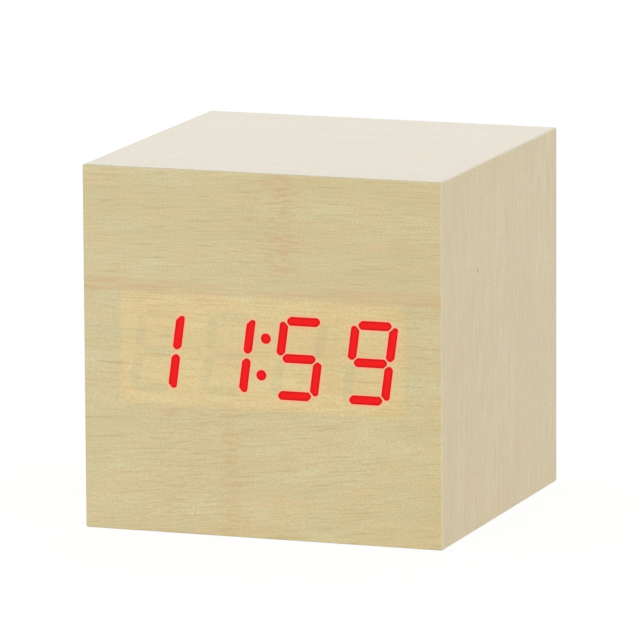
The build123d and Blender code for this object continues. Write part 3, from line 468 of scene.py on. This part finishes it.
LIT_RED = srgb(236, 8, 8)
LIT_RED_DIM = srgb(229, 5, 5)
LIT_RED_RIM = srgb(198, 4, 4)
RIM_INSET = 0.25
RIM_HALF_WIDTH = 0.3
LIT_STRENGTH = 0.97
LIT_FIBRE_RATE = (0.2, 2.2, 1.0)


def lit_bar(name):
    """Red light that comes through the last thin layer of the veneer, dimmer along the rim of each bar."""
    material, graph = new_material(name)
    x, _, z = graph.split(graph.place())
    fibre = graph.noise(graph.stretched(graph.vector(x, z, 2.0), *LIT_FIBRE_RATE), detail=3.0)
    rim = graph.hump(distance_to(graph, lit_bars, x, z), -RIM_INSET, RIM_HALF_WIDTH)
    core = graph.mix(graph.ease(fibre, 0.35, 0.65), LIT_RED, LIT_RED_DIM)
    graph.shine(
        Base_Color=srgb(90, 8, 8),
        Emission_Color=graph.mix(rim, core, LIT_RED_RIM),
        Emission_Strength=LIT_STRENGTH,
        Roughness=graph.ease(fibre, 0.2, 0.8, 0.5, 0.4),
        Specular_IOR_Level=0.2,
    )
    return material


def plastic(name, dark, pale, roughness, grain, depth):
    """Moulded plastic with a fine grain; the grain's size and depth are in millimetres."""
    material, graph = new_material(name)
    place = graph.place()
    fine = graph.noise(graph.stretched(place, 1 / grain, 1 / grain, 1 / grain), detail=3.0, roughness=0.6)
    broad = graph.noise(graph.stretched(place, 0.12, 0.12, 0.12), detail=2.0)
    graph.shine(
        Base_Color=graph.mix(graph.ease(broad, 0.3, 0.7), dark, pale),
        Roughness=graph.ease(fine, 0.3, 0.7, roughness + 0.06, roughness - 0.06),
        Normal=graph.bump(fine, depth),
    )
    return material


def metal(name, dark, pale, roughness):
    """Drawn or plated metal with faint streaks."""
    material, graph = new_material(name)
    place = graph.place()
    streak = graph.noise(graph.stretched(place, 0.8, 4.0, 4.0), detail=3.0)
    cloud = graph.noise(graph.stretched(place, 0.5, 0.5, 0.5), detail=2.0)
    graph.shine(
        Base_Color=graph.mix(graph.ease(cloud, 0.3, 0.7), dark, pale),
        Metallic=1.0,
        Roughness=graph.ease(streak, 0.3, 0.7, roughness + 0.08, roughness - 0.06),
        Normal=graph.bump(streak, 0.004),
    )
    return material


def fibreboard(name, dark, pale):
    """Raw board of pressed wood fibres."""
    material, graph = new_material(name)
    place = graph.place()
    fibres = graph.noise(graph.stretched(place, 2.5, 2.5, 2.5), detail=4.0, roughness=0.7)
    graph.shine(
        Base_Color=graph.mix(graph.ease(fibres, 0.35, 0.65), dark, pale),
        Roughness=graph.ease(fibres, 0.3, 0.7, 0.9, 0.75),
        Normal=graph.bump(fibres, 0.05),
    )
    return material


def softwood(name, dark, pale):
    """Sawn softwood with its rings running from front to rear."""
    material, graph = new_material(name)
    place = graph.place()
    rings = graph.noise(graph.stretched(place, 0.9, 0.05, 0.4), detail=3.0)
    graph.shine(
        Base_Color=graph.mix(graph.ease(rings, 0.35, 0.65), dark, pale),
        Roughness=graph.ease(rings, 0.3, 0.7, 0.8, 0.65),
        Normal=graph.bump(rings, 0.05),
    )
    return material


# Copper runs of the boards, wires of the flat cable, bands round the cells and marks of the buttons.
# The bands are measured from the middle of the case towards a cell's positive end, the depths of a
# mark from the face of its button, and its reach from the button's axis.
COPPER_RATE = (0.35, 0.0, 0.35)
COPPER_RUNS = 26.0
RIBBON_WIRES = 6
CELL_COUNT = 3
RING_START = 7.2
RING_SOFT = 0.05
BLUE_START = 8.0
BLUE_SOFT = 0.1
MARK_FLOOR = 0.3
MARK_TOP = 0.1
MARK_SOFT = 0.01
MARK_REACH = 1.3


def circuit_board(name):
    """Green lacquered board with the copper runs faintly showing."""
    material, graph = new_material(name)
    place = graph.place()
    cells = graph.add("ShaderNodeTexVoronoi", distance="MANHATTAN", feature="F1")
    graph.feed(cells.inputs["Vector"], graph.stretched(place, *COPPER_RATE))
    cells.inputs["Scale"].default_value = 1.0
    runs = graph.math("SINE", graph.product(cells.outputs["Distance"], COPPER_RUNS))
    copper = graph.ease(runs, 0.1, 0.4)
    graph.shine(
        Base_Color=graph.mix(copper, srgb(14, 66, 38), srgb(26, 96, 52)),
        Roughness=graph.ease(copper, 0.0, 1.0, 0.35, 0.28),
        Normal=graph.bump(copper, 0.03),
    )
    return material


def ribbon(name):
    """Flat grey cable: its wires lie side by side, and the first one is red."""
    material, graph = new_material(name)
    x, _, _ = graph.split(graph.place())
    low, high = [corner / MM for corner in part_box("ribbon_cable")]
    pitch = (high.x - low.x) / RIBBON_WIRES
    wave = graph.math("COSINE", graph.product(graph.math("SUBTRACT", x, low.x), 2 * math.pi / pitch))
    groove_and_painted_shade = graph.ease(wave, 0.6, 1.0)
    first = graph.math("LESS_THAN", x, low.x + pitch)
    # Painted shade: the jacket is coloured darker in the grooves between the wires
    colour = graph.mix(groove_and_painted_shade, srgb(158, 158, 156), srgb(96, 96, 95))
    graph.shine(
        Base_Color=graph.mix(first, colour, srgb(150, 34, 30)),
        Roughness=graph.ease(groove_and_painted_shade, 0.0, 1.0, 0.45, 0.6),
        Normal=graph.bump(graph.product(groove_and_painted_shade, -1.0), 0.15),
    )
    return material


def cell_sleeve(name):
    """Printed film round the cells: grey, with a blue end at the positive side and a thin pale ring."""
    material, graph = new_material(name)
    place = graph.place()
    x, _, z = graph.split(place)
    low, high = [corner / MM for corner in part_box("cell_sleeves")]
    row = graph.math("FLOOR", graph.product(graph.math("SUBTRACT", z, low.z), CELL_COUNT / (high.z - low.z)))
    turned = graph.math("COSINE", graph.product(row, math.pi))
    towards = graph.product(x, turned)
    blue = graph.ease(towards, BLUE_START, BLUE_START + BLUE_SOFT)
    ring = graph.between(towards, RING_START, BLUE_START, RING_SOFT)
    scuff = graph.noise(graph.stretched(place, 0.2, 1.5, 1.5), detail=4.0, roughness=0.65)
    colour = graph.mix(blue, srgb(128, 132, 134), srgb(32, 58, 98))
    colour = graph.mix(ring, colour, srgb(214, 214, 208))
    graph.shine(
        Base_Color=graph.mix(graph.ease(scuff, 0.5, 0.8, 0.0, 0.25), colour, srgb(182, 184, 184)),
        Metallic=0.35,
        Roughness=graph.ease(scuff, 0.3, 0.7, 0.3, 0.42),
        Normal=graph.bump(scuff, 0.01),
    )
    return material


def button(name, node):
    """Smooth dark plastic whose sunken mark is filled with white paint."""
    material, graph = new_material(name)
    place = graph.place()
    x, y, z = graph.split(place)
    low, high = [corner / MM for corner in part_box(node)]
    middle = (low + high) / 2
    offset = graph.vector(graph.math("SUBTRACT", x, middle.x), 0.0, graph.math("SUBTRACT", z, middle.z))
    radius = graph.add("ShaderNodeVectorMath", offset, operation="LENGTH").outputs["Value"]
    sunken = graph.between(y, high.y - MARK_FLOOR, high.y - MARK_TOP, MARK_SOFT)
    mark = graph.product(sunken, graph.math("LESS_THAN", radius, MARK_REACH))
    fine = graph.noise(graph.stretched(place, 5.0, 5.0, 5.0), detail=3.0)
    plain = graph.mix(graph.ease(fine, 0.3, 0.7), srgb(38, 38, 39), srgb(44, 44, 45))
    graph.shine(
        Base_Color=graph.mix(mark, plain, srgb(214, 214, 210)),
        Roughness=graph.ease(fine, 0.3, 0.7, 0.42, 0.32),
        Normal=graph.bump(fine, 0.006),
    )
    return material


slot_materials = {
    "bamboo_veneer": veneer("bamboo veneer", False),
    "board_core": fibreboard("board core", srgb(146, 112, 74), srgb(176, 142, 98)),
    "block_wood": softwood("block wood", srgb(190, 150, 98), srgb(218, 184, 132)),
    "lit_bar": lit_bar("lit bar"),
    "unlit_bar": veneer("front veneer", True),
    "white_plastic": plastic("white plastic", srgb(224, 223, 216), srgb(236, 235, 229), 0.42, 0.3, 0.01),
    "led_chip": plastic("LED chip", srgb(214, 190, 112), srgb(236, 222, 160), 0.3, 0.2, 0.01),
    "steel": metal("plated steel", srgb(188, 188, 186), srgb(214, 214, 210), 0.26),
    "circuit_board": circuit_board("circuit board"),
    "black_plastic": plastic("black plastic", srgb(34, 34, 35), srgb(41, 41, 42), 0.52, 0.22, 0.035),
    "header_plastic": plastic("header plastic", srgb(222, 216, 198), srgb(234, 229, 213), 0.4, 0.3, 0.01),
    "bright_can": metal("bright can", srgb(205, 204, 200), srgb(226, 225, 221), 0.18),
    "resistor_ceramic": plastic("resistor ceramic", srgb(28, 28, 30), srgb(46, 46, 48), 0.35, 0.4, 0.02),
    "ribbon_jacket": ribbon("ribbon jacket"),
    "pin_brass": metal("pin brass", srgb(196, 164, 92), srgb(220, 190, 120), 0.24),
    "cell_sleeve": cell_sleeve("cell sleeve"),
    "red_jacket": plastic("red jacket", srgb(168, 24, 22), srgb(186, 34, 30), 0.4, 0.5, 0.01),
    "black_jacket": plastic("black jacket", srgb(24, 24, 25), srgb(34, 34, 35), 0.4, 0.5, 0.01),
}
button_bodies = ("set", "up", "down")
node_materials = {"front_veneer": slot_materials["unlit_bar"]}
for body in button_bodies:
    node_materials[f"{body}_button"] = button(f"{body} button", f"{body}_button")
    node_materials[f"{body}_plunger"] = slot_materials["header_plastic"]

for subpart in frame["record"]["subparts"]:
    node = subpart["node"]
    mesh = frame["nodes"][node].data
    mesh.materials.clear()
    mesh.materials.append(node_materials.get(node) or slot_materials[subpart["material_slot"]])


def light_room():
    """White all round for what the camera sees, and a plain level of light on the object."""
    world = bpy.data.worlds.new("room")
    bpy.context.scene.world = world
    world.use_nodes = True
    world.node_tree.nodes.clear()
    graph = Graph(world.node_tree)
    seen = seen_directly(graph)
    background = graph.add("ShaderNodeBackground", srgb(255, 255, 255))
    graph.feed(background.inputs["Strength"], graph.ease(seen, 0.0, 1.0, ROOM_LIGHT, 1.0))
    graph.feed(graph.add("ShaderNodeOutputWorld").inputs["Surface"], background.outputs[0])
    for name, values in (("front lamp", FRONT_LAMP), ("rear lamp", REAR_LAMP)):
        lamp = bpy.data.lights.new(name, "SUN")
        lamp.energy = values["light"]
        lamp.angle = math.radians(values["spread_degrees"])
        hang(lamp, LAMP_PLACE, values["towards"]).visible_glossy = False
    screen = bpy.data.lights.new("screen", "AREA")
    screen.shape = "RECTANGLE"
    screen.size, screen.size_y = SCREEN_WIDTH, SCREEN_HEIGHT
    screen.energy = SCREEN_LIGHT * math.pi * SCREEN_WIDTH * SCREEN_HEIGHT
    hang(screen, SCREEN_PLACE, [-place for place in SCREEN_PLACE])


def hang(light, place, towards):
    """Puts a light at a place, turns it to shine one way and gives its holder back."""
    holder = bpy.data.objects.new(light.name, light)
    holder.location = place
    holder.rotation_mode = "QUATERNION"
    holder.rotation_quaternion = Vector(towards).to_track_quat("-Z", "Y")
    bpy.context.collection.objects.link(holder)
    return holder


def seen_directly(graph):
    """1 for rays of the camera, of reflections and through clear pieces; 0 for light on other surfaces."""
    path = graph.add("ShaderNodeLightPath")
    glossy = graph.math("MAXIMUM", path.outputs["Is Glossy Ray"], path.outputs["Is Transmission Ray"])
    return graph.math("MAXIMUM", path.outputs["Is Camera Ray"], glossy)


def lay_floor():
    """A pale floor that keeps the shadow; from below it isn't seen."""
    half = FLOOR_SIZE / 2
    mesh = bpy.data.meshes.new("floor")
    corners = [(x * half, y * half, -FLOOR_DROP) for x, y in ((-1, -1), (1, -1), (1, 1), (-1, 1))]
    mesh.from_pydata(corners, [], [(0, 1, 2, 3)])
    floor = bpy.data.objects.new("floor", mesh)
    bpy.context.collection.objects.link(floor)
    material, graph = new_material("floor")
    grain = graph.noise(graph.stretched(graph.place(), *FLOOR_GRAIN_RATE))
    paint = graph.add("ShaderNodeBsdfDiffuse", graph.mix(grain, srgb(248, 248, 248), srgb(250, 250, 250)))
    glow = graph.add("ShaderNodeEmission", srgb(255, 255, 255), FLOOR_GLOW)
    share = graph.product(seen_directly(graph), FLOOR_GLOW_SHARE)
    top = graph.add("ShaderNodeMixShader", share, paint.outputs[0], glow.outputs[0])
    behind = graph.add("ShaderNodeNewGeometry").outputs["Backfacing"]
    clear = graph.add("ShaderNodeBsdfTransparent")
    graph.finish(graph.add("ShaderNodeMixShader", behind, top.outputs[0], clear.outputs[0]).outputs[0])
    mesh.materials.append(material)


def set_camera():
    """The camera at the photographed angle."""
    azimuth, elevation, roll = map(math.radians, (CAMERA_AZIMUTH, CAMERA_ELEVATION, CAMERA_ROLL))
    back = Vector((
        math.sin(azimuth) * math.cos(elevation),
        -math.cos(azimuth) * math.cos(elevation),
        math.sin(elevation),
    ))
    level = Vector((0, 0, 1)).cross(back).normalized()
    upright = back.cross(level)
    right = math.cos(roll) * level + math.sin(roll) * upright
    up = math.cos(roll) * upright - math.sin(roll) * level
    low, high = [Vector(corner) for corner in cad_bounds]
    data = bpy.data.cameras.new("camera")
    data.lens = CAMERA_LENS
    data.sensor_width = CAMERA_SENSOR
    data.clip_end = CAMERA_REACH
    camera = bpy.data.objects.new("camera", data)
    bpy.context.collection.objects.link(camera)
    spot = (low + high) / 2 + right * CAMERA_SIDEWAYS + up * CAMERA_UPWARDS + back * CAMERA_DISTANCE
    camera.matrix_world = Matrix.Translation(spot) @ Matrix((right, up, back)).transposed().to_4x4()
    bpy.context.scene.camera = camera


light_room()
lay_floor()
set_camera()
bpy.context.scene.view_settings.view_transform = "Standard"
